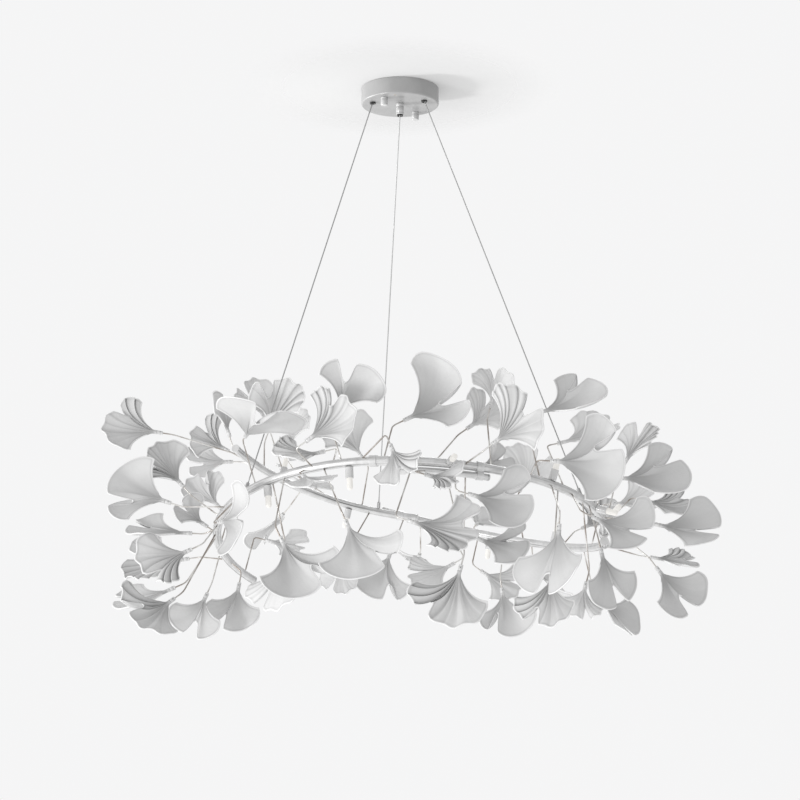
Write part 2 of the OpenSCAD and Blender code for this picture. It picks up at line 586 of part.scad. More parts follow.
module gland_lock_nut() {
    color("silver") translate([middle_at.x, middle_at.y, cup_floor]) difference() {
        cylinder(h = gland_nut_h, r = gland_shank_r + 3, $fn = 6);
        translate([0, 0, -1]) cylinder(h = gland_nut_h + 2, r = gland_shank_r + fit_gap);
    }
}

module nozzle(at, seat_z) {
    color("black") translate([at.x, at.y, seat_z]) rotate_extrude() polygon([
        [nozzle_throat_r, nozzle_in], [nozzle_mouth_r, -nozzle_out], [nozzle_r, -nozzle_out],
        [nozzle_r, nozzle_in]]);
}

module driver_case() {
    color("white") translate([driver_at.x, driver_at.y, cup_floor]) cube([driver_l, driver_w, driver_h]);
}

module terminal_block() {
    color("ivory") translate([terminal_at.x, terminal_at.y, cup_floor]) difference() {
        cube([terminal_l, terminal_w, terminal_h]);
        for (i = [0:2]) translate([terminal_l * (i + 0.5) / 3, terminal_w / 2, terminal_h - 3])
            cylinder(h = 4, r = 1.6);
    }
}

module earth_screw() {
    color("silver") translate([earth_at.x, earth_at.y, -cup_h + soft_gap]) {
        cylinder(h = cup_wall + 1, r = earth_screw_r);
        translate([0, 0, cup_wall - soft_gap]) cylinder(h = 2.2, r = earth_screw_r * 2);
    }
}

module line(k, top) {
    start = LINE_TOPS[k];
    color("silver") {
        translate(start) cylinder(h = top - start.z, r = line_r);
        translate(start) sphere(r = line_r * 1.08);
        rod(start, line_end(k), line_r);
    }
}

module line_left() {
    line(0, cup_floor + gripper_h + line_tail);
}

module line_right() {
    line(1, cup_floor + gripper_h + line_tail);
}

module line_middle() {
    line(2, cup_floor + gland_shank_h + line_tail);
    color("black") translate(LINE_TOPS[2] - anchor_way(2) * (nozzle_out + bead_d / 2 + 1.5))
        sphere(d = bead_d);
}

ceiling_cup();
mounting_bar();
cup_studs();
thumb_nut(-1);  // thumb_nut_left
thumb_nut(1);  // thumb_nut_right
gripper(left_at);  // gripper_left
gripper(right_at);  // gripper_right
middle_gland();
gland_lock_nut();
nozzle(left_at, -cup_h);  // nozzle_left
nozzle(right_at, -cup_h);  // nozzle_right
nozzle(middle_at, gland_end);  // nozzle_middle
driver_case();
terminal_block();
earth_screw();
line_left();
line_right();
line_middle();
branch(0);  // branch_back_left
branch(1);  // branch_front_left
branch(2);  // branch_front_right
branch(3);  // branch_back_right
branch(4);  // branch_under
lap_clips();
end_plugs();
ring_leads();
line_anchors();
lamp_holders();
lamp_capsules();
set_screws();
leaves(0);  // leaves_back_left
leaves(1);  // leaves_left_high
leaves(2);  // leaves_left_low
leaves(3);  // leaves_front_left
leaves(4);  // leaves_front_middle
leaves(5);  // leaves_front_right
leaves(6);  // leaves_right_high
leaves(7);  // leaves_right_low
leaves(8);  // leaves_back_right
stems(0);  // stems_back_left
stems(1);  // stems_left_high
stems(2);  // stems_left_low
stems(3);  // stems_front_left
stems(4);  // stems_front_middle
stems(5);  // stems_front_right
stems(6);  // stems_right_high
stems(7);  // stems_right_low
stems(8);  // stems_back_right
ferrules(0);  // ferrules_back_left
ferrules(1);  // ferrules_left_high
ferrules(2);  // ferrules_left_low
ferrules(3);  // ferrules_front_left
ferrules(4);  // ferrules_front_middle
ferrules(5);  // ferrules_front_right
ferrules(6);  // ferrules_right_high
ferrules(7);  // ferrules_right_low
ferrules(8);  // ferrules_back_right
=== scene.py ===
# Looks of the ring chandelier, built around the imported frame: porcelain leaves, stems, branch tubes, lines,
# lamps and ceiling cup.
import bpy
import math
import random
import numpy as np
from collections import namedtuple
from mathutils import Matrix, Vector
from types import SimpleNamespace


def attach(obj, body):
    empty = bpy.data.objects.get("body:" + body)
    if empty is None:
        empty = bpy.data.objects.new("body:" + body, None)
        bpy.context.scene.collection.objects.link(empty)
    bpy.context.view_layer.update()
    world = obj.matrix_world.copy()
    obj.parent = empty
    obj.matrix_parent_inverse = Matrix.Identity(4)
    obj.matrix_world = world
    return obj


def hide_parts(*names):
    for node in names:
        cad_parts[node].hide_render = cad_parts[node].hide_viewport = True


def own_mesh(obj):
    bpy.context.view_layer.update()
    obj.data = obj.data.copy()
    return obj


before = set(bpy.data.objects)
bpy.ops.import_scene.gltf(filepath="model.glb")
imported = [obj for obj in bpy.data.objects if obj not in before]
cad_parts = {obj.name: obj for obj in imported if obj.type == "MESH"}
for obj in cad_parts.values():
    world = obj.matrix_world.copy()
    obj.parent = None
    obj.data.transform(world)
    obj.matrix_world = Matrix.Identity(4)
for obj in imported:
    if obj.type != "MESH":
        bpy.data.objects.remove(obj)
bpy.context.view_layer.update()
MM = 0.001

# Real sizes, in millimetres, as in the part's source
DROP = 672
RING_R = 320
TUBE_R = 6.75
TUBE_WALL = 1.3
THIN_R = 5.0
LAP_GAP = 0.6
LAP = TUBE_R + LAP_GAP / 2
LAP_PITCH = 2 * TUBE_R + LAP_GAP
STEM_R = 1.15
STEM_IN = 0.7
STEM_END_L = 18
FERRULE_R, FERRULE_L = 3.3, 9
NECK_W, NECK_T = 6.4, 5.4
LEAF_T = 2.8
LINE_R = 1.0
ANCHOR_R, ANCHOR_L = 2.8, 10
SOFT_GAP = 0.3
CUP_H, CUP_WALL = 27, 1.5
GLAND_END = -46
GLAND_L = 19
SHANK_R, SHANK_L = 4.5, 7


def vec(*c):
    return np.array(c, float)


def unit(v):
    return v / np.linalg.norm(v)


def cosine(degrees):
    return math.cos(math.radians(degrees))


def sine(degrees):
    return math.sin(math.radians(degrees))


def outward(around):
    return vec(cosine(around), sine(around), 0)


def towards(around, up):
    return vec(cosine(up) * cosine(around), cosine(up) * sine(around), sine(up))


def ease(t):
    """A smooth step from 0 at t = 0 to 1 at t = 1."""
    s = min(1, max(0, t))
    return s * s * (3 - 2 * s)


def bell(x, width):
    """A smooth hump: 1 at 0, and next to nothing beyond twice the width."""
    return math.exp(-(x / width) ** 2)


# Branches of the ring. Each one is an arc on a tilted plane.
Branch = namedtuple("Branch", "radius first last tilt raised centre tube_r", defaults=(None, TUBE_R))


def arm(branch, angle):
    """From a branch's centre to its middle line at an angle."""
    along = branch.radius * cosine(angle - branch.raised)
    across = branch.radius * sine(angle - branch.raised)
    level = along * cosine(branch.tilt)
    c, s = cosine(branch.raised), sine(branch.raised)
    return vec(level * c - across * s, level * s + across * c, along * sine(branch.tilt))


def branch_point(branch, angle):
    return branch.centre + arm(branch, angle)


def tangent(branch, angle, step=0.1):
    return unit(branch_point(branch, angle + step) - branch_point(branch, angle - step))


def through(branch, angle, point):
    """The branch, moved so that its middle line runs through a point at an angle."""
    return branch._replace(centre=point - arm(branch, angle))


def down(depth):
    return vec(0, 0, -depth)


FRONT_LAP, SIDE_LAP, BACK_LAP = 261, 359, 91.5
FRONT_STEP_OUT, FRONT_STEP_DOWN = LAP_PITCH + 0.6, 2
SIDE_STEP_DOWN = LAP_PITCH + 3.5
BACK_STEP_IN, BACK_STEP_DOWN = LAP_PITCH + 1.2, 3
UNDER_STEP_DOWN = TUBE_R + THIN_R + LAP_GAP + 1
FRONT_RIGHT = Branch(RING_R - LAP, 256, 361, tilt=11.2, raised=262, centre=vec(11, -6, -61))
FRONT_LEFT = through(
    Branch(RING_R - 28, 147, 266, tilt=17.5, raised=265), FRONT_LAP,
    branch_point(FRONT_RIGHT, FRONT_LAP) + outward(FRONT_LAP) * FRONT_STEP_OUT + down(FRONT_STEP_DOWN))
BACK_RIGHT = through(
    Branch(RING_R + LAP, -8, 97, tilt=14.3, raised=175), SIDE_LAP - 360,
    branch_point(FRONT_RIGHT, SIDE_LAP) + down(SIDE_STEP_DOWN))
BACK_LEFT = through(
    Branch(RING_R - LAP, 86, 157, tilt=17, raised=240), BACK_LAP,
    branch_point(BACK_RIGHT, BACK_LAP) - outward(BACK_LAP) * BACK_STEP_IN + down(BACK_STEP_DOWN))
UNDER = Branch(RING_R - LAP, 265, 292, tilt=11.2, raised=262,
               centre=FRONT_RIGHT.centre + down(UNDER_STEP_DOWN), tube_r=THIN_R)
BRANCHES = [BACK_LEFT, FRONT_LEFT, FRONT_RIGHT, BACK_RIGHT, UNDER]
BRANCH_NAMES = ["back_left", "front_left", "front_right", "back_right", "under"]

# Leaf kinds. Angles are in degrees, pleat and rib_depth in millimetres, the rest are shares or numbers.
Kind = namedtuple("Kind", "half_angle notch notch_w pleat pleats wave cupping rounding ribs rib_depth"
                          " flank_columns paleness")
SMOOTH = Kind(half_angle=56, notch=0.37, notch_w=0.112, pleat=1.2, pleats=2, wave=0.00, cupping=0.374,
              rounding=0.10, ribs=6, rib_depth=0.05, flank_columns=16, paleness=0)
RIBBED = Kind(half_angle=57, notch=0.30, notch_w=0.115, pleat=3.0, pleats=3, wave=0.02, cupping=0.340,
              rounding=0.12, ribs=4, rib_depth=1.9, flank_columns=30, paleness=0)
PALE = Kind(half_angle=56, notch=0.31, notch_w=0.105, pleat=1.6, pleats=3, wave=0.03, cupping=0.204,
            rounding=0.12, ribs=5, rib_depth=0.6, flank_columns=16, paleness=0.35)

# Each leaf: number of its branch in BRANCHES, angle on it, stem's end from the ring's middle, direction
# (around, up), roll, length, kind, bend, shift of the notch
Leaf = namedtuple("Leaf", "branch angle end around up roll length kind bend shift")
SPRAYS = {
    "back_left": [
        [0, 137, [-286, 230, 84], 180, 0, -50, 76, PALE, 20, 0.1],
        [0, 131, [-235, 275, 165], 175, 65, -55, 70, PALE, 15, 0],
        [0, 141, [-225, 205, 130], 5, 70, 55, 95, RIBBED, 30, 0.2],
        [0, 122, [-195, 305, 120], 0, 75, 50, 70, PALE, 20, 0],
        [0, 104, [-65, 290, 100], 180, 55, -60, 82, PALE, 25, 0.1],
        [0, 101, [-90, 255, -72], 185, -70, -60, 66, PALE, 20, 0],
        [0, 90, [-15, 270, -65], 185, -68, -75, 85, SMOOTH, 25, 0],
        [0, 113, [-150, 385, 60], 115, 20, 20, 90, RIBBED, 25, 0],
        [0, 125, [-205, 345, 10], 130, -30, -20, 88, SMOOTH, -20, 0.1]],
    "left_high": [
        [0, 151, [-395, 120, 115], 184, 8, -58, 92, RIBBED, 15, -0.1],
        [1, 204, [-350, -150, -40], 180, 18, -66, 92, SMOOTH, 15, 0.1],
        [1, 196, [-340, -60, -2], 178, 48, -52, 76, RIBBED, 20, 0.3],
        [0, 155, [-285, 140, 112], 180, 72, -28, 72, SMOOTH, 20, 0],
        [0, 141, [-290, 190, 96], 180, 28, -64, 66, RIBBED, 20, 0],
        [1, 174, [-290, 50, -22], 170, 46, -55, 66, PALE, 15, 0],
        [1, 177.5, [-305, -20, -60], 176, 34, -50, 56, SMOOTH, 15, 0]],
    "left_low": [
        [1, 187.6, [-324, -74, -77], 182, 3, -25, 98, SMOOTH, 12, 0],
        [1, 191, [-315, -165, -112], 184, -26, -62, 80, RIBBED, 25, 0],
        [1, 164, [-344, 90, -98], 178, -8, -36, 104, RIBBED, 20, 0],
        [1, 182.4, [-350, -62, -160], 183, -24, -28, 95, SMOOTH, 30, 0],
        [1, 185.5, [-345, -115, -182], 212, -36, -60, 86, RIBBED, 24, 0],
        [1, 172, [-304, -15, -164], 200, -66, -70, 68, SMOOTH, 20, 0.1],
        [1, 163, [-257, 30, -143], 180, -80, -84, 76, SMOOTH, 15, 0],
        [1, 152, [-225, 150, -60], 0, -15, 50, 66, PALE, 20, 0]],
    "front_left": [
        [1, 210, [-272, -200, -76], 306, -2, 78, 92, SMOOTH, 15, 0],
        [1, 221, [-235, -190, 56], 286, 8, -22, 106, SMOOTH, 20, 0],
        [1, 243, [-137, -335, 24], 350, 34, 72, 82, RIBBED, 30, 0.1],
        [1, 249, [-111, -262, 22], 182, -14, -28, 74, RIBBED, 15, 0],
        [1, 240, [-140, -340, -26], 290, -22, 10, 62, PALE, 20, 0],
        [1, 233, [-172, -335, -114], 354, -64, 72, 92, SMOOTH, 20, 0],
        [1, 228, [-172, -240, -128], 182, -84, -50, 82, PALE, 20, 0],
        [1, 246, [-78, -370, -94], 350, -66, 78, 92, SMOOTH, 25, 0.1]],
    "front_middle": [
        [1, 252, [-93, -305, 68], 10, 62, 72, 80, SMOOTH, 20, 0.1],
        [1, 264, [5, -262, 68], 2, 26, 60, 108, SMOOTH, 30, -0.1],
        [1, 257, [-14, -366, 15], 318, -62, 70, 62, RIBBED, 25, 0],
        [4, 275, [36, -350, -26], 335, -18, 40, 54, RIBBED, 20, 0],
        [2, 271.5, [10, -378, -96], 350, -18, 40, 102, RIBBED, 30, 0.1],
        [2, 277, [100, -225, 62], 25, 35, 55, 62, PALE, 20, 0],
        [2, 285, [132, -345, 18], 350, 36, 74, 86, RIBBED, 25, 0]],
    "front_right": [
        [2, 293, [135, -235, 92], 10, 75, 55, 56, PALE, 20, 0],
        [2, 293.5, [116, -215, 8], 20, 8, 50, 52, SMOOTH, 15, 0],
        [4, 282.5, [98, -322, -50], 0, -16, 58, 92, SMOOTH, 20, 0],
        [4, 280, [88, -332, -154], 182, -74, -82, 90, RIBBED, 25, 0],
        [4, 285.5, [110, -270, -107], 2, -24, 46, 76, SMOOTH, 25, 0.1],
        [2, 309, [206, -205, 90], 5, 14, 32, 106, SMOOTH, 25, 0.1],
        [2, 305, [217, -335, -4], 0, -3, 80, 102, SMOOTH, 20, 0]],
    "right_high": [
        [2, 319, [245, -105, 60], 15, 14, 25, 96, PALE, 20, 0],
        [2, 355, [360, 20, 45], 0, 58, 35, 76, RIBBED, 20, 0],
        [2, 338, [334, -130, 2], 0, -3, 42, 106, SMOOTH, 20, 0],
        [2, 352, [385, -25, -18], 0, -14, 40, 68, RIBBED, 20, 0],
        [3, 16, [350, 115, -5], 12, 5, 45, 74, PALE, 20, 0],
        [2, 345, [392, -105, -66], 0, -13, 48, 100, SMOOTH, 20, 0]],
    "right_low": [
        [2, 313, [228, -347, -97], 184, -86, -42, 106, SMOOTH, 20, 0],
        [2, 316, [224, -235, -157], 178, -82, -70, 72, RIBBED, 20, 0],
        [2, 332, [300, -200, -114], 0, -78, 46, 90, SMOOTH, 20, 0.1],
        [2, 328, [283, -150, -160], 182, -75, -70, 52, PALE, 15, 0],
        [2, 322, [282, -268, -76], 356, -27, 56, 88, SMOOTH, 25, 0],
        [2, 349, [396, -90, -131], 0, -54, 58, 86, SMOOTH, 20, 0],
        [3, 3, [402, 35, -102], 5, -8, 26, 70, RIBBED, 20, 0]],
    "back_right": [
        [3, 76, [94, 262, -86], 180, -30, -44, 78, PALE, 20, 0],
        [3, 57, [172, 225, -132], 0, -82, 80, 78, SMOOTH, 20, 0],
        [3, 66, [139, 290, -96], 0, -35, 60, 72, PALE, 20, 0],
        [3, 34, [310, 235, -30], 35, 22, 30, 92, RIBBED, 20, 0],
        [3, 47, [240, 325, -95], 60, -22, 40, 88, SMOOTH, 20, 0],
        [3, 68, [135, 385, -5], 78, 16, 30, 90, SMOOTH, 20, 0],
        [3, 85, [35, 400, -55], 95, -12, 25, 86, RIBBED, 20, 0],
        [3, 22, [330, 165, -150], 22, -50, 50, 88, SMOOTH, 20, 0],
        [3, 50, [205, 250, 35], 35, 60, 50, 84, PALE, 20, 0]],
}


# Materials
def grey(level):
    return level, level, level


def opaque(colour):
    return *colour, 1


def node(tree, kind, **values):
    """A new shader node; each value sets the input of that name, with _ for a space, or else a property."""
    n = tree.nodes.new(kind)
    for name, value in values.items():
        label = name.replace("_", " ")
        if label in n.inputs:
            n.inputs[label].default_value = value
        else:
            setattr(n, name, value)
    return n


def ramp(tree, source, stops):
    r = node(tree, "ShaderNodeValToRGB")
    for element, (at, colour) in zip(r.color_ramp.elements, (stops[0], stops[-1])):
        element.position = at
        element.color = opaque(colour)
    for at, colour in stops[1:-1]:
        r.color_ramp.elements.new(at).color = opaque(colour)
    tree.links.new(source, r.inputs["Fac"])
    return r.outputs["Color"]


EVEN = (1, 1, 1)
ALONG_Z = (1, 1, 0.25)


def object_noise(tree, scale, stretch=EVEN):
    place = node(tree, "ShaderNodeTexCoord")
    mapping = node(tree, "ShaderNodeMapping", Scale=stretch)
    tree.links.new(place.outputs["Object"], mapping.inputs["Vector"])
    noise = node(tree, "ShaderNodeTexNoise", Scale=scale, Detail=3.0, Roughness=0.55)
    tree.links.new(mapping.outputs["Vector"], noise.inputs["Vector"])
    return noise.outputs["Fac"]


def bump(tree, height, distance, below):
    """A bump of the given distance in metres, on top of the one below if there is one."""
    b = node(tree, "ShaderNodeBump", Strength=1.0, Distance=distance)
    tree.links.new(height, b.inputs["Height"])
    if below:
        tree.links.new(below, b.inputs["Normal"])
    return b.outputs["Normal"]


def material(name, dark, light, scale, rough, grain, metallic=0.0, spread=(0.3, 0.7), **shader):
    """A finish whose colour and roughness drift over the piece; each grain is (scale, depth, stretch)."""
    finish = bpy.data.materials.new(name)
    finish.use_nodes = True
    tree = finish.node_tree
    principled = tree.nodes["Principled BSDF"]
    principled.inputs["Metallic"].default_value = metallic
    for label, value in shader.items():
        principled.inputs[label.replace("_", " ")].default_value = value
    colour = ramp(tree, object_noise(tree, scale), [(spread[0], dark), (spread[1], light)])
    tree.links.new(colour, principled.inputs["Base Color"])
    drift = node(tree, "ShaderNodeMapRange", To_Min=rough[0], To_Max=rough[1])
    tree.links.new(object_noise(tree, scale * 3), drift.inputs["Value"])
    tree.links.new(drift.outputs["Result"], principled.inputs["Roughness"])
    normal = None
    for grain_scale, depth, stretch in grain:
        normal = bump(tree, object_noise(tree, grain_scale, stretch), depth, normal)
    tree.links.new(normal, principled.inputs["Normal"])
    return finish


porcelain = material(
    "porcelain", grey(0.62), grey(0.67), scale=22, rough=(0.42, 0.6),
    grain=[(900, 0.00006, EVEN), (110, 0.0003, EVEN)], Specular_IOR_Level=0.4)
tube_metal = material(
    "tube_metal", grey(0.60), grey(0.76), scale=60, rough=(0.3, 0.46), metallic=0.8,
    grain=[(1500, 0.00005, EVEN)])
stem_metal = material(
    "stem_metal", (0.34, 0.30, 0.27), (0.74, 0.73, 0.71), scale=28, rough=(0.25, 0.45), metallic=0.85,
    spread=(0.38, 0.62), grain=[(1800, 0.00005, EVEN)])
collar_paint = material(
    "collar_paint", grey(0.60), grey(0.70), scale=90, rough=(0.35, 0.5), metallic=0.1,
    grain=[(1500, 0.00005, EVEN)])
screw_steel = material(
    "screw_steel", grey(0.22), grey(0.36), scale=200, rough=(0.25, 0.4), metallic=0.95,
    grain=[(2500, 0.00005, EVEN)])
cup_paint = material(
    "cup_paint", grey(0.32), grey(0.35), scale=30, rough=(0.34, 0.42), metallic=0.15,
    grain=[(700, 0.00004, EVEN)])
zinc = material(
    "zinc", (0.50, 0.51, 0.52), (0.64, 0.65, 0.66), scale=80, rough=(0.25, 0.45), metallic=0.95,
    grain=[(900, 0.0001, (1, 8, 1))])
brass = material(
    "brass", (0.60, 0.44, 0.20), (0.72, 0.56, 0.28), scale=70, rough=(0.22, 0.4), metallic=0.95,
    grain=[(1400, 0.00006, EVEN)])
white_plastic = material(
    "white_plastic", grey(0.78), grey(0.83), scale=50, rough=(0.3, 0.45),
    grain=[(1200, 0.00008, EVEN)])
clear_plastic = material(
    "clear_plastic", grey(0.42), grey(0.50), scale=50, rough=(0.14, 0.24),
    grain=[(600, 0.00008, EVEN)], Coat_Weight=0.5)
black_plastic = material(
    "black_plastic", grey(0.012), grey(0.03), scale=90, rough=(0.3, 0.45),
    grain=[(1600, 0.00006, EVEN)])
cable_steel = material(
    "cable_steel", grey(0.36), grey(0.52), scale=500, rough=(0.3, 0.45), metallic=0.9,
    grain=[(1500, 0.0002, ALONG_Z)])
cord_cover = material(
    "cord_cover", grey(0.40), grey(0.46), scale=300, rough=(0.35, 0.5),
    grain=[(1500, 0.0001, ALONG_Z)])
lead_cover = material(
    "lead_cover", grey(0.74), grey(0.80), scale=60, rough=(0.45, 0.6),
    grain=[(900, 0.0001, EVEN)])
holder_glaze = material(
    "holder_glaze", grey(0.58), grey(0.64), scale=60, rough=(0.15, 0.25),
    grain=[(700, 0.00006, EVEN)], Coat_Weight=0.4)
lamp_glass = material(
    "lamp_glass", (0.60, 0.59, 0.57), (0.66, 0.65, 0.63), scale=80, rough=(0.35, 0.5),
    grain=[(1500, 0.00005, EVEN)], Emission_Color=(1, 0.97, 0.92, 1), Emission_Strength=0.28)


def attribute_tone(finish, attribute, tone):
    """Blends the base colour to a grey by one of the mesh's tones, such as the painted shade in a tube's
    grooves.
    """
    tree = finish.node_tree
    principled = tree.nodes["Principled BSDF"]
    base = principled.inputs["Base Color"].links[0].from_socket
    where = node(tree, "ShaderNodeAttribute", attribute_name=attribute)
    mix = node(tree, "ShaderNodeMix", data_type="RGBA")
    tree.links.new(where.outputs["Fac"], mix.inputs["Factor"])
    tree.links.new(base, mix.inputs["A"])
    mix.inputs["B"].default_value = opaque(grey(tone))
    tree.links.new(mix.outputs["Result"], principled.inputs["Base Color"])


# Painted shade on the leaves: darker in the rib grooves, at the neck, along the middle and just inside the
# edge
attribute_tone(porcelain, "fold", 0.25)
# Painted highlight on the leaves' edges and rib crests, together with the pale kind's paleness
attribute_tone(porcelain, "rim", 0.80)
# Painted shade in the tubes' grooves, darker where a groove is deeper
attribute_tone(tube_metal, "groove", 0.16)


# Meshes. Points are in millimetres in the part's frame, whose origin is at the ceiling over the cup.
def add_object(name, data):
    o = bpy.data.objects.new(name, data)
    bpy.context.scene.collection.objects.link(o)
    return o


def mesh_object(name, verts, faces, finish, body, slot, replaced, **tones):
    """A smooth piece that rides on a body and replaces a CAD node; each tone is one number for each point."""
    mesh = bpy.data.meshes.new(name)
    mesh.from_pydata([tuple(v) for v in np.asarray(verts) * MM], [], faces)
    mesh.validate()
    for tone, values in tones.items():
        mesh.attributes.new(tone, "FLOAT", "POINT").data.foreach_set("value", np.asarray(values, np.float32))
    mesh.materials.append(finish)
    for face in mesh.polygons:
        face.use_smooth = True
    o = add_object(name, mesh)
    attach(o, body)
    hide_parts(replaced)
    return o


def frames_along(path):
    """A point and two directions across for each point of a path, without twist from one to the next."""
    path = np.asarray(path, float)
    t = np.gradient(path, axis=0)
    t /= np.linalg.norm(t, axis=1)[:, None]
    upright = abs(t[0][2]) >= 0.9
    n = unit(np.cross(t[0], vec(1, 0, 0) if upright else vec(0, 0, 1)))
    out = []
    for point, way in zip(path, t):
        n = unit(n - way * (n @ way))
        out.append((point, n, np.cross(way, n)))
    return out


def ring_strips(rows, sides):
    """Faces between rings of points that follow each other."""
    faces = []
    for k in range(rows - 1):
        for j in range(sides):
            i = (j + 1) % sides
            faces.append((k * sides + j, k * sides + i, (k + 1) * sides + i, (k + 1) * sides + j))
    return faces


def sweep(path, radius, sides):
    """Points and faces of a closed tube along a path; radius(row, angle in turns) is in millimetres."""
    verts = []
    for k, (p, n, b) in enumerate(frames_along(path)):
        for j in range(sides):
            a = 2 * math.pi * j / sides
            verts.append(p + (n * math.cos(a) + b * math.sin(a)) * radius(k, j / sides))
    faces = ring_strips(len(path), sides)
    faces.append(tuple(reversed(range(sides))))
    faces.append(tuple((len(path) - 1) * sides + j for j in range(sides)))
    return verts, faces


def lathe(profile, sides, at=(0, 0, 0), groove=None):
    """Points and faces of a turned piece that stands at a point; its profile is (radius, height) pairs."""
    verts = []
    for r, z in profile:
        for j in range(sides):
            a = 2 * math.pi * j / sides
            q = r - (groove(j, z) if groove else 0)
            verts.append(vec(q * math.cos(a), q * math.sin(a), z) + at)
    return verts, ring_strips(len(profile), sides)


def join(parts):
    verts, faces = [], []
    for v, f in parts:
        faces += [tuple(i + len(verts) for i in face) for face in f]
        verts += v
    return verts, faces


# Leaves. u runs from the neck, 0, to the far edge, 1, and v across from one side edge, -1, to the other, 1.
ROWS = [0, 0.04, 0.08, 0.13, 0.19, 0.25, 0.31, 0.37, 0.43, 0.49, 0.55, 0.61, 0.67, 0.73, 0.79, 0.84, 0.89,
        0.93, 0.96, 0.98, 0.992, 1]
NOTCH_STEPS = [0, 0.2, 0.4, 0.6, 0.75, 0.9, 1.05, 1.2, 1.4, 1.7, 2.1]
EDGE_STEPS = [0, 0.008, 0.02, 0.035, 0.055]
FLANK_END = 0.92

# Outline: how much the corners and the inner sides of the lobes are cut back, and how square the notch is
CORNER, CORNER_POWER = 0.19, 7
LOBE_CUT = 0.11
NOTCH_POWER = 7
SWERVE = 0.17
OPENING_POWER = 1.5
NECK_OPENS = 0.3

# Relief: where arch, curl and ribs begin, and how steep a rib's short side is
PLEAT_TURN = 60
ARCH_RISE = 1.2
CURL_FROM, CURL_ROOM = 0.45, 0.3
RIB_RISE = 1.8
PLAIN_SIDE_RIBS = 0.15
RIB_POWER = 2.4

# Thickness: round neck, thinner tip, and a rim that is rounded off and has a bead along it
NECK_FLAT = 0.92
NECK_THINS = 0.35
TIP_THIN = 0.25
RIM_W, RIM_LEFT = 1.2, 0.35
BEAD, BEAD_AT, BEAD_W = 0.3, 1.1, 0.7
NO_EDGE = 9

# Tones: painted highlight along the edge and on the rib crests, and painted shade in the grooves, at the
# neck, in the middle and in a line just inside the edge
PAINTED_HIGHLIGHT_W, PAINTED_HIGHLIGHT_EDGE = 1.9, 1.5
CREST_LIGHT, CREST_POWER = 0.8, 9
GROOVE_SHADE, GROOVE_POWER = 0.95, 2.6
NECK_SHADE, NECK_SHADE_END = 0.62, 0.12
MIDDLE_SHADE, MIDDLE_W = 0.25, 0.22
RIM_SHADE, RIM_SHADE_AT, RIM_SHADE_W = 0.35, 2.6, 0.9


def drawn_form(leaf, seed):
    """A leaf's measures, with what differs from leaf to leaf drawn in a fixed order."""
    draw = random.Random(seed)
    kind = leaf.kind
    form = SimpleNamespace(kind=kind, length=leaf.length, bend=leaf.bend)
    form.phase = draw.uniform(0, 1)
    form.ribs = kind.ribs + draw.randint(0, 2)
    form.ribbed_side = draw.choice((-1, 1))
    form.lean = draw.uniform(-0.07, 0.07)
    form.twist = draw.uniform(-0.2, 0.2)
    form.corner = CORNER * draw.uniform(0.5, 1.4)
    form.lobe_cut = LOBE_CUT * draw.uniform(0.5, 1.5)
    form.notch_w = kind.notch_w * draw.uniform(0.95, 1.35)
    form.narrow = draw.uniform(0.46, 0.64)
    notch_side = math.copysign(1, leaf.shift) if leaf.shift else draw.choice((-1, 1))
    form.shift = leaf.shift + notch_side * draw.uniform(0.08, 0.34)
    form.arch = draw.uniform(0.055, 0.095) * leaf.length * draw.choice((-1, 1))
    form.curl = draw.uniform(-0.07, 0.07) * leaf.length
    form.swerve = SWERVE * form.ribbed_side
    form.notch = kind.notch * (0.8 + 0.4 * (leaf.angle * 7 % 10) / 10)
    return form


def leaf_columns(form):
    """Places across the leaf, closest together at the notch and at both side edges."""
    left = [form.shift - c * form.notch_w for c in NOTCH_STEPS[1:]]
    right = [form.shift + c * form.notch_w for c in NOTCH_STEPS]
    low = np.linspace(-FLANK_END, left[-1], form.kind.flank_columns)[:-1]
    high = np.linspace(right[-1], FLANK_END, form.kind.flank_columns)[1:]
    edges = [e - 1 for e in EDGE_STEPS] + [1 - e for e in EDGE_STEPS]
    return sorted(edges + left + right + list(low) + list(high))


def skewed(degrees):
    """A wave with one steep and one gentle side, as the pleats of the leaves have."""
    return math.cos(math.radians(degrees) + 0.8 * cosine(degrees))


def lobe_side(form, v):
    """Where v lies across its own lobe: -1 at the notch, 1 at the leaf's side edge."""
    width = 1 - form.shift if v > form.shift else 1 + form.shift
    return 2 * abs(v - form.shift) / width - 1


def outline(form, v):
    """The leaf's length at v: rounded, with cut corners and lobes, a notch and a wavy edge."""
    kind = form.kind
    reach = form.length * (1 + form.lean * v - abs(form.lean) / 2)
    cut = kind.rounding * abs(v) ** 3 + form.corner * abs(v) ** CORNER_POWER
    reach *= 1 - cut - form.lobe_cut * max(0, -lobe_side(form, v)) ** 3
    reach *= 1 - form.notch * math.exp(-(abs(v - form.shift) / form.notch_w) ** NOTCH_POWER)
    return reach * (1 + kind.wave * cosine(360 * kind.pleats * v))


def spread(form, u, v, reach):
    """A point's place in the leaf's plane: x away from the neck and y across."""
    opening = form.narrow + (1 - form.narrow) * u ** OPENING_POWER
    a = form.kind.half_angle * opening * (v + form.swerve * u * u * (1 - v * v))
    neck = NECK_W / 2 * sine(90 * v)
    return reach * u * cosine(a), neck + (reach * u * sine(a) - neck) * ease(u / NECK_OPENS)


def rib(form, u, v):
    """How strong the ribs are at a point, and how far the point is down its own rib, both from 0 to 1."""
    ribbed = ease(0.5 + 1.4 * v * form.ribbed_side)
    strength = ease(u * RIB_RISE) * (PLAIN_SIDE_RIBS + (1 - PLAIN_SIDE_RIBS) * ribbed)
    return strength, (form.ribs * v + form.phase) % 1


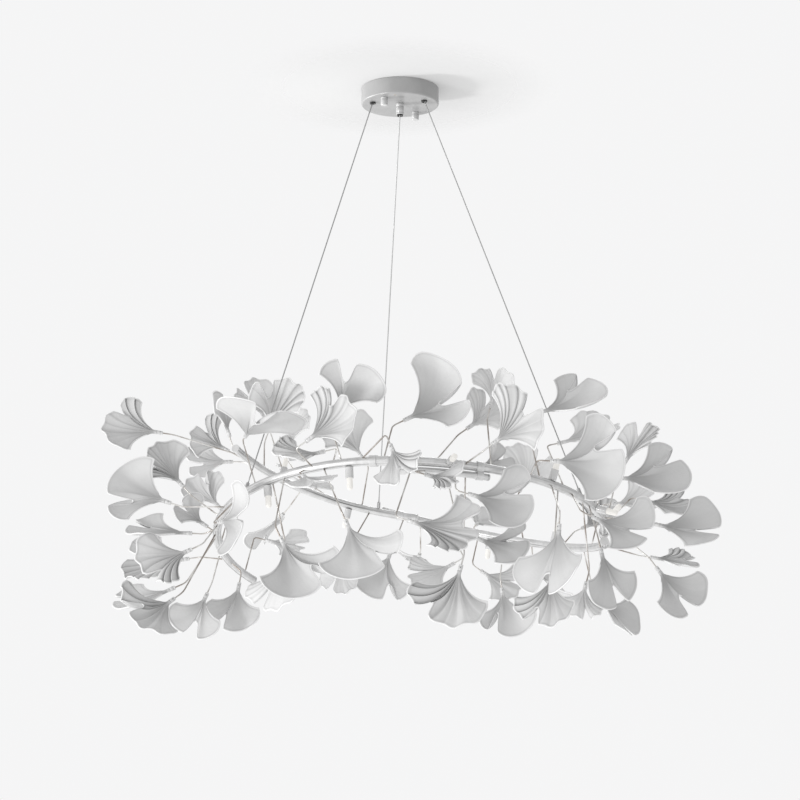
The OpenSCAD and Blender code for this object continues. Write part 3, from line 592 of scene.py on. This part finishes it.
def relief(form, u, v, x, y):
    """Height of the leaf's middle surface before its ribs: cupping, twist, pleats, arch and curl."""
    kind = form.kind
    z = (kind.cupping * y + form.twist * x) * y / form.length
    z += kind.pleat * ease(u) * skewed(180 * kind.pleats * v + PLEAT_TURN * u)
    z += form.arch * (1 - lobe_side(form, v) ** 2) * ease(u * ARCH_RISE)
    return z + form.curl * max(0, u - CURL_FROM) ** 2 / CURL_ROOM


def edge_gap(form, u, v, reach):
    """How far the nearest edge is. Close to the neck the side edges don't count."""
    far = reach * (1 - u)
    side = (1 - abs(v)) * math.radians(form.kind.half_angle) * form.length * u
    return min(far, side if u > NECK_OPENS else NO_EDGE)


def half_thickness(u, v, gap):
    half = NECK_T / 2 * math.sqrt(1 - NECK_FLAT * v * v)
    half += (LEAF_T / 2 * (1 - TIP_THIN * u) - half) * ease(u / NECK_THINS)
    inset = 1 - min(gap, RIM_W) / RIM_W
    rounded = RIM_LEFT + (1 - RIM_LEFT) * math.sqrt(max(0, 1 - inset ** 2))
    return half * rounded * (1 + BEAD * bell(gap - BEAD_AT, BEAD_W))


def bent(form, x, y, z):
    """The point once the leaf's plane is rolled to its bend."""
    k = math.radians(form.bend) / form.length
    r = 1 / k - z
    return vec(r * math.sin(k * x), y, 1 / k - r * math.cos(k * x))


# The pale kind's paleness, and painted highlight: lighter along the edge and on the rib crests, as if they
# caught the light
def rim_tone(form, gap, crest):
    edge = min(1, PAINTED_HIGHLIGHT_EDGE * max(0, 1 - gap / PAINTED_HIGHLIGHT_W))
    return max(form.kind.paleness, edge, CREST_LIGHT * crest)


# Painted shade: darker in the rib grooves, towards the neck, along the middle by the notch and in a line just
# inside the edge, where shade falls
def fold_tone(form, u, v, gap, groove):
    neck = NECK_SHADE * (1 - ease((u - 0.1) / 0.7)) * ease(u / NECK_SHADE_END)
    middle = MIDDLE_SHADE * bell(v - form.shift, MIDDLE_W) * (1 - u) * ease(u / NECK_OPENS)
    beside_rim = RIM_SHADE * bell(gap - RIM_SHADE_AT, RIM_SHADE_W)
    return min(1, GROOVE_SHADE * groove + neck + middle + beside_rim)


def sheet_faces(rows, columns):
    """Faces of a closed sheet: its top, its bottom, and the strips between them along the four edges."""
    low = rows * columns
    faces = []
    for i in range(rows - 1):
        for j in range(columns - 1):
            a = i * columns + j
            faces.append((a, a + columns, a + columns + 1, a + 1))
            faces.append((low + a, low + a + 1, low + a + columns + 1, low + a + columns))
        first, last = i * columns, (i + 1) * columns - 1
        faces.append((first, low + first, low + first + columns, first + columns))
        faces.append((last, last + columns, low + last + columns, low + last))
    for j in range(columns - 1):
        far = low - columns + j
        faces.append((j, j + 1, low + j + 1, low + j))
        faces.append((far, low + far, low + far + 1, far + 1))
    return faces


def leaf_surface(leaf, seed):
    """A leaf's points in its own frame and its faces, with each point's paleness and painted highlight, and
    its painted shade.
    """
    form = drawn_form(leaf, seed)
    columns = leaf_columns(form)
    rib_depth = form.kind.rib_depth
    verts, rim, fold = [], [], []
    for side in (1, -1):
        shown_ribs = min(1, rib_depth) if side == 1 else 0
        for u in ROWS:
            for v in columns:
                reach = outline(form, v)
                x, y = spread(form, u, v, reach)
                strength, slope = rib(form, u, v)
                gap = edge_gap(form, u, v, reach)
                z = relief(form, u, v, x, y) + rib_depth * strength * (1 - 2 * slope ** RIB_POWER)
                verts.append(bent(form, x, y, z + side * half_thickness(u, v, gap)))
                # Painted highlight on the edge and rib crests, with the pale kind's paleness
                rim.append(rim_tone(form, gap, strength * (1 - slope) ** CREST_POWER * shown_ribs))
                # Painted shade in the grooves, at the neck, along the middle and just inside the edge
                fold.append(fold_tone(form, u, v, gap, strength * slope ** GROOVE_POWER * shown_ribs))
    return verts, sheet_faces(len(ROWS), len(columns)), rim, fold


def turn(axis, degrees):
    """Matrix of a turn about one axis."""
    c, s = cosine(degrees), sine(degrees)
    return {"x": np.array([[1, 0, 0], [0, c, -s], [0, s, c]]),
            "y": np.array([[c, 0, s], [0, 1, 0], [-s, 0, c]]),
            "z": np.array([[c, -s, 0], [s, c, 0], [0, 0, 1]])}[axis]


def placed(verts, leaf, along=0):
    """Points of a leaf's own frame, whose x runs on from its stem, in the whole lamp."""
    m = turn("z", leaf.around) @ turn("y", -leaf.up) @ turn("x", leaf.roll)
    at = vec(*leaf.end) + down(DROP)
    return [m @ (v + vec(along, 0, 0)) + at for v in verts]


# Stems, each straight from its branch to a round bend and straight on into its collar
BEND_REACH, BEND_SHARE = 7, 0.45
ROOT_POINTS, BEND_POINTS, TIP_POINTS = 6, 9, 4
STEM_SIDES = 12


def stem_path(leaf):
    end = vec(*leaf.end)
    way = towards(leaf.around, leaf.up)
    knee = end - way * STEM_END_L
    branch = BRANCHES[leaf.branch]
    hub = branch_point(branch, leaf.angle)
    first = unit(knee - hub)
    slant = np.linalg.norm(np.cross(first, tangent(branch, leaf.angle)))
    root = hub + first * (branch.tube_r - TUBE_WALL - STEM_IN) / slant
    tip = end + way * FERRULE_L
    reach = min(BEND_REACH, np.linalg.norm(knee - root) * BEND_SHARE)
    bend = [knee - first * reach * (1 - t) ** 2 + way * reach * t ** 2
            for t in np.linspace(0, 1, BEND_POINTS)]
    before = [root + (bend[0] - root) * t for t in np.linspace(0, 1, ROOT_POINTS)[:-1]]
    after = [bend[-1] + (tip - bend[-1]) * t for t in np.linspace(0, 1, TIP_POINTS)[1:]]
    return [p + down(DROP) for p in before + bend + after]


# Collars, turned pieces with rounded lips and one shallow groove
LIP, LIP_MIDDLE = 0.5, 0.15
WAIST_R = FERRULE_R - 0.3
COLLAR_SIDES = 24
COLLAR_PROFILE = [
    (STEM_R, 0), (FERRULE_R - LIP, 0), (FERRULE_R - LIP_MIDDLE, LIP_MIDDLE), (FERRULE_R, LIP),
    (FERRULE_R, 1.6), (WAIST_R, 1.8), (WAIST_R, 2.2), (FERRULE_R, 2.4),
    (FERRULE_R, FERRULE_L - LIP), (FERRULE_R - LIP_MIDDLE, FERRULE_L - LIP_MIDDLE),
    (FERRULE_R - LIP, FERRULE_L), (STEM_R, FERRULE_L)]


def collar(leaf):
    verts, faces = lathe(COLLAR_PROFILE, COLLAR_SIDES)
    return placed([turn("y", 90) @ v for v in verts], leaf), faces


def build_spray(spray, rows, first_seed):
    """The leaves, stems and collars of one part of the ring, each as one mesh."""
    leaves, stems, collars, rims, folds = [], [], [], [], []
    for k, row in enumerate(rows):
        leaf = Leaf(*row)
        verts, faces, rim, fold = leaf_surface(leaf, first_seed + k)
        leaves.append((placed(verts, leaf, FERRULE_L), faces))
        rims += rim
        folds += fold
        stems.append(sweep(stem_path(leaf), lambda point, a: STEM_R, STEM_SIDES))
        collars.append(collar(leaf))
    mesh_object("porcelain_" + spray, *join(leaves), porcelain, "ring", "porcelain", "leaves_" + spray,
                rim=rims, fold=folds)
    mesh_object("stem_rods_" + spray, *join(stems), stem_metal, "ring", "stem_nickel", "stems_" + spray)
    mesh_object("collars_" + spray, *join(collars), collar_paint, "ring", "ferrule_pale", "ferrules_" + spray)


for index, (spray, rows) in enumerate(SPRAYS.items()):
    build_spray(spray, rows, 100 * index)

# Branch tubes, each with fine grooves along it like a peeled branch
TUBE_SIDES = 90
TUBE_ROWS_PER_DEGREE = 1.6
TUBE_INSET = 0.02
TUBE_GROOVES = 9
FIRST_TUBE_SEED = 40


def drawn_grooves(seed):
    """Each groove's place round the tube, width in turns, depth, drift in turns along the tube, and phase."""
    draw = random.Random(seed)
    return [(n / TUBE_GROOVES + draw.uniform(-0.03, 0.03), draw.uniform(0.012, 0.026),
             draw.uniform(0.35, 0.8), draw.uniform(-0.15, 0.15), draw.uniform(0, 6))
            for n in range(TUBE_GROOVES)]


def groove_depth(grooves, along, a):
    """Depth of all grooves together, at most 1 mm, at a share along the tube and a turns round it."""
    depth = 0
    for at, width, deepest, drift, phase in grooves:
        wander = drift * along + 0.015 * math.sin(6.28 * 3 * along + phase)
        aside = (a - at - wander + 0.5) % 1 - 0.5
        depth += deepest * bell(aside, width) * (0.55 + 0.45 * math.sin(9 * along + phase))
    return min(depth, 1)


def build_tube(name, branch, seed):
    grooves = drawn_grooves(seed)
    count = int((branch.last - branch.first) * TUBE_ROWS_PER_DEGREE)
    path = [branch_point(branch, a) + down(DROP) for a in np.linspace(branch.first, branch.last, count)]

    def depth(k, a):
        return groove_depth(grooves, k / count, a)

    verts, faces = sweep(path, lambda k, a: branch.tube_r - TUBE_INSET - depth(k, a), TUBE_SIDES)
    # Painted shade in the grooves, as deep as each groove
    painted_groove_shade = [depth(k, j / TUBE_SIDES) for k in range(count) for j in range(TUBE_SIDES)]
    mesh_object("tube_" + name, verts, faces, tube_metal, "ring", "branch_silver", "branch_" + name,
                groove=painted_groove_shade)


for index, (name, branch) in enumerate(zip(BRANCH_NAMES, BRANCHES)):
    build_tube(name, branch, FIRST_TUBE_SEED + index)

# Taut lines from their pivots in the cup to the anchors on the ring.
LEFT_AT, RIGHT_AT, MIDDLE_AT = (-44.8, -14.7), (39.7, -24), (0, -8)
PIVOT_IN = 0.3
CUP_PIVOT, GLAND_PIVOT = PIVOT_IN - CUP_H, PIVOT_IN + GLAND_END
WIRE_TOP, CORD_TOP = -9.5, -15.5
STRAIGHT_L = 2
LINE_ROWS, LINE_SIDES = 40, 28
STRANDS, STRAND_DEPTH, STRAND_TURN = 7, 0.04, 0.03


def strand_radius(row, a):
    wave = math.cos(2 * math.pi * STRANDS * (a + STRAND_TURN * row))
    return LINE_R * (1 - STRAND_DEPTH + STRAND_DEPTH * wave)


def build_line(name, at, pivot, top, branch, angle, finish):
    hub = branch_point(branch, angle) + down(DROP)
    start = vec(*at, pivot)
    way = unit(start - hub)
    slant = np.linalg.norm(np.cross(way, tangent(branch, angle)))
    foot = SOFT_GAP + (TUBE_R + ANCHOR_R * math.sqrt(1 - slant ** 2)) / slant
    end = hub + way * (foot + ANCHOR_L)
    path = [vec(*at, top), vec(*at, pivot + STRAIGHT_L)]
    path += [start + (end - start) * t for t in np.linspace(0, 1, LINE_ROWS)]
    verts, faces = sweep(path, strand_radius, LINE_SIDES)
    line = mesh_object("cable_" + name, verts, faces, finish, "cup", "steel_line", "line_" + name)
    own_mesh(line)


build_line("left", LEFT_AT, CUP_PIVOT, WIRE_TOP, FRONT_LEFT, 215, cable_steel)
build_line("right", RIGHT_AT, CUP_PIVOT, WIRE_TOP, FRONT_RIGHT, 328, cable_steel)
build_line("middle", MIDDLE_AT, GLAND_PIVOT, CORD_TOP, BACK_LEFT, 98.5, cord_cover)

# Thumb nuts and the gland, turned pieces; heights run up from each piece's lower end
NUT_AT = (25.72, 38.14)
NUT_H = 13
NUT_PROFILE = [
    (0.05, 0), (3.2, 0), (4.4, 0.08), (5.1, 0.35), (5.6, 0.8), (5.95, 1.5), (5.95, 1.9), (5.6, 2.2),
    (5.6, 2.5), (5.9, 2.8), (5.9, 10.2), (5.6, 10.5), (5.6, 10.8), (5.95, 11.1), (5.95, 12.8),
    (5.8, NUT_H), (2.2, NUT_H)]
GRIP_FROM, GRIP_TO = 2.7, 10.3
GRIP_GROOVES, GRIP_DEPTH = 24, 0.25
CORD_HOLE_R = 1.3
NOZZLE_SEAT_R, NOZZLE_ROOM = 4.98, 5.1
SHANK_TOP = GLAND_L + CUP_WALL + SHANK_L
GLAND_PROFILE = [
    (CORD_HOLE_R, NOZZLE_ROOM), (NOZZLE_SEAT_R, NOZZLE_ROOM), (NOZZLE_SEAT_R, 0), (5.9, 0), (6.4, 0.5),
    (6.4, 2.6), (6.05, 2.9), (6.05, 3.5), (6.4, 3.8), (6.4, 13.2), (6.1, 13.5), (6.1, 14), (6.45, 14.3),
    (6.45, 18.8), (6.25, GLAND_L), (SHANK_R, GLAND_L), (SHANK_R, SHANK_TOP), (CORD_HOLE_R, SHANK_TOP),
    (CORD_HOLE_R, NOZZLE_ROOM)]
TURNED_SIDES = 144


def grip_groove(j, z):
    """How far the grip's grooves cut in at side j of TURNED_SIDES and height z."""
    wave = math.cos(2 * math.pi * GRIP_GROOVES * j / TURNED_SIDES)
    return GRIP_DEPTH * (1 + wave) / 2 if GRIP_FROM < z < GRIP_TO else 0


for side, name in ((-1, "left"), (1, "right")):
    foot = vec(side * NUT_AT[0], side * NUT_AT[1], -CUP_H - NUT_H)
    mesh_object("grip_nut_" + name, *lathe(NUT_PROFILE, TURNED_SIDES, foot, grip_groove), clear_plastic,
                "thumb_nut_" + name, "cup_white", "thumb_nut_" + name)
mesh_object("gland_body", *lathe(GLAND_PROFILE, TURNED_SIDES, vec(*MIDDLE_AT, GLAND_END)), clear_plastic,
            "cup", "white_plastic", "middle_gland")

# Pieces that keep their CAD shape, by finish
KEPT_SHAPES = [
    (cup_paint, ["ceiling_cup"]),
    (zinc, ["mounting_bar", "cup_studs", "gland_lock_nut"]),
    (brass, ["gripper_left", "gripper_right", "earth_screw"]),
    (white_plastic, ["driver_case", "terminal_block"]),
    (black_plastic, ["nozzle_left", "nozzle_right", "nozzle_middle"]),
    (tube_metal, ["lap_clips", "end_plugs"]),
    (lead_cover, ["ring_leads"]),
    (cable_steel, ["line_anchors"]),
    (screw_steel, ["set_screws"]),
    (holder_glaze, ["lamp_holders"]),
    (lamp_glass, ["lamp_capsules"]),
]


def dress(o, finish):
    if not o.material_slots:
        o.data.materials.append(finish)
    for s in o.material_slots:
        s.material = finish


for finish, names in KEPT_SHAPES:
    for name in names:
        dress(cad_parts[name], finish)

# Studio: soft light from all round, stronger from below and from the left, and an even pale backdrop
LIGHT_LEVEL = 2.16
BACKDROP = (0.915, 0.915, 0.918)
BY_HEIGHT = [(0.0, 0.86), (0.35, 0.84), (0.6, 0.63), (1.0, 0.48)]
BY_DEPTH = [(0.0, 0.69), (0.35, 0.74), (0.65, 0.76), (1.0, 0.68)]
BY_SIDE = [(0.0, 1.0), (0.5, 0.86), (1.0, 0.58)]


def light_from(tree, direction, stops):
    """A grey that changes with the direction of the light along one axis, from -1 to 1."""
    r = node(tree, "ShaderNodeMapRange", From_Min=-1)
    tree.links.new(direction, r.inputs["Value"])
    return ramp(tree, r.outputs["Result"], [(at, grey(level)) for at, level in stops])


def times(tree, a, b):
    product = node(tree, "ShaderNodeMix", data_type="RGBA", blend_type="MULTIPLY", Factor=1)
    tree.links.new(a, product.inputs["A"])
    tree.links.new(b, product.inputs["B"])
    return product.outputs["Result"]


def build_studio():
    world = bpy.data.worlds.new("studio")
    bpy.context.scene.world = world
    world.use_nodes = True
    tree = world.node_tree
    tree.nodes.clear()
    place = node(tree, "ShaderNodeTexCoord")
    split = node(tree, "ShaderNodeSeparateXYZ")
    tree.links.new(place.outputs["Generated"], split.inputs["Vector"])
    height, depth, side = (light_from(tree, split.outputs[axis], stops)
                           for axis, stops in (("Z", BY_HEIGHT), ("Y", BY_DEPTH), ("X", BY_SIDE)))
    sky = node(tree, "ShaderNodeBackground", Strength=LIGHT_LEVEL)
    tree.links.new(times(tree, times(tree, height, depth), side), sky.inputs["Color"])
    backdrop = node(tree, "ShaderNodeBackground", Strength=1.0, Color=opaque(BACKDROP))
    rays = node(tree, "ShaderNodeLightPath")
    seen = node(tree, "ShaderNodeMath", operation="MAXIMUM")
    tree.links.new(rays.outputs["Is Camera Ray"], seen.inputs[0])
    tree.links.new(rays.outputs["Is Transmission Ray"], seen.inputs[1])
    mix = node(tree, "ShaderNodeMixShader")
    tree.links.new(seen.outputs["Value"], mix.inputs["Fac"])
    tree.links.new(sky.outputs["Background"], mix.inputs[1])
    tree.links.new(backdrop.outputs["Background"], mix.inputs[2])
    out = node(tree, "ShaderNodeOutputWorld")
    tree.links.new(mix.outputs["Shader"], out.inputs["Surface"])


def add_lamp(light, at, aim):
    o = add_object(light.name, light)
    o.location = at
    o.rotation_euler = (Vector(aim) - Vector(at)).to_track_quat("-Z", "Y").to_euler()


def disk_lamp(name, at, aim, size, power):
    light = bpy.data.lights.new(name, "AREA")
    light.shape, light.size, light.energy = "DISK", size, power
    add_lamp(light, at, aim)


def spot_lamp(name, at, aim, cone, blend, softness, power):
    light = bpy.data.lights.new(name, "SPOT")
    light.spot_size, light.spot_blend = math.radians(cone), blend
    light.shadow_soft_size, light.energy = softness, power
    add_lamp(light, at, aim)


build_studio()
disk_lamp("key", at=(-2.9, -2.3, -1.3), aim=(0.05, 0, -0.4), size=0.9, power=46)
spot_lamp("graze", at=(-1.25, 0.15, -0.54), aim=(0.06, -0.02, 0), cone=24, blend=0.9, softness=0.09, power=62)
disk_lamp("back", at=(0.8, 2.2, 1.2), aim=(0, 0, -0.6), size=1.2, power=14)

# A round patch of ceiling behind the cup, in metres, which catches the cup's shadow and fades out to its edge
CEILING_R, CEILING_GAP = 0.30, 0.0012
CEILING_SIDES = 120
FADE_FROM, FADE_TO = 0.10, CEILING_R * 0.9
CHALK, CEILING_LIFT = 0.45, 0.205


def plaster():
    finish = bpy.data.materials.new("plaster")
    finish.use_nodes = True
    tree = finish.node_tree
    tree.nodes.clear()
    place = node(tree, "ShaderNodeTexCoord")
    distance = node(tree, "ShaderNodeVectorMath", operation="LENGTH")
    tree.links.new(place.outputs["Object"], distance.inputs[0])
    fade = node(tree, "ShaderNodeMapRange", interpolation_type="SMOOTHSTEP",
                From_Min=FADE_FROM, From_Max=FADE_TO, To_Min=1, To_Max=0)
    tree.links.new(distance.outputs["Value"], fade.inputs["Value"])
    chalk = node(tree, "ShaderNodeBsdfDiffuse", Color=opaque(grey(CHALK)))
    lift = node(tree, "ShaderNodeEmission", Strength=1.0, Color=opaque(grey(CEILING_LIFT)))
    lit = node(tree, "ShaderNodeAddShader")
    tree.links.new(chalk.outputs["BSDF"], lit.inputs[0])
    tree.links.new(lift.outputs["Emission"], lit.inputs[1])
    clear = node(tree, "ShaderNodeBsdfTransparent")
    mix = node(tree, "ShaderNodeMixShader")
    tree.links.new(fade.outputs["Result"], mix.inputs["Fac"])
    tree.links.new(clear.outputs["BSDF"], mix.inputs[1])
    tree.links.new(lit.outputs["Shader"], mix.inputs[2])
    out = node(tree, "ShaderNodeOutputMaterial")
    tree.links.new(mix.outputs["Shader"], out.inputs["Surface"])
    return finish


def build_ceiling():
    angles = [360 / CEILING_SIDES * k for k in range(CEILING_SIDES)]
    mesh = bpy.data.meshes.new("ceiling")
    mesh.from_pydata([(CEILING_R * cosine(a), CEILING_R * sine(a), CEILING_GAP) for a in angles], [],
                     [tuple(reversed(range(CEILING_SIDES)))])
    mesh.materials.append(plaster())
    add_object("ceiling", mesh)


build_ceiling()

# Camera, at the photograph's viewing angle: below the ring and looking up a little
EYE = (0, -3.385, -1.160)
LOOK_UP = 10.65
FOCAL_PIXELS, PHOTO_PIXELS = 2136, 800
SENSOR_W = 36

camera = bpy.data.cameras.new("photo")
camera.sensor_width = SENSOR_W
camera.lens = SENSOR_W * FOCAL_PIXELS / PHOTO_PIXELS
eye = add_object("photo", camera)
eye.location = EYE
eye.rotation_euler = (math.radians(90 + LOOK_UP), 0, 0)
bpy.context.scene.camera = eye

bpy.context.scene.view_settings.view_transform = "Standard"
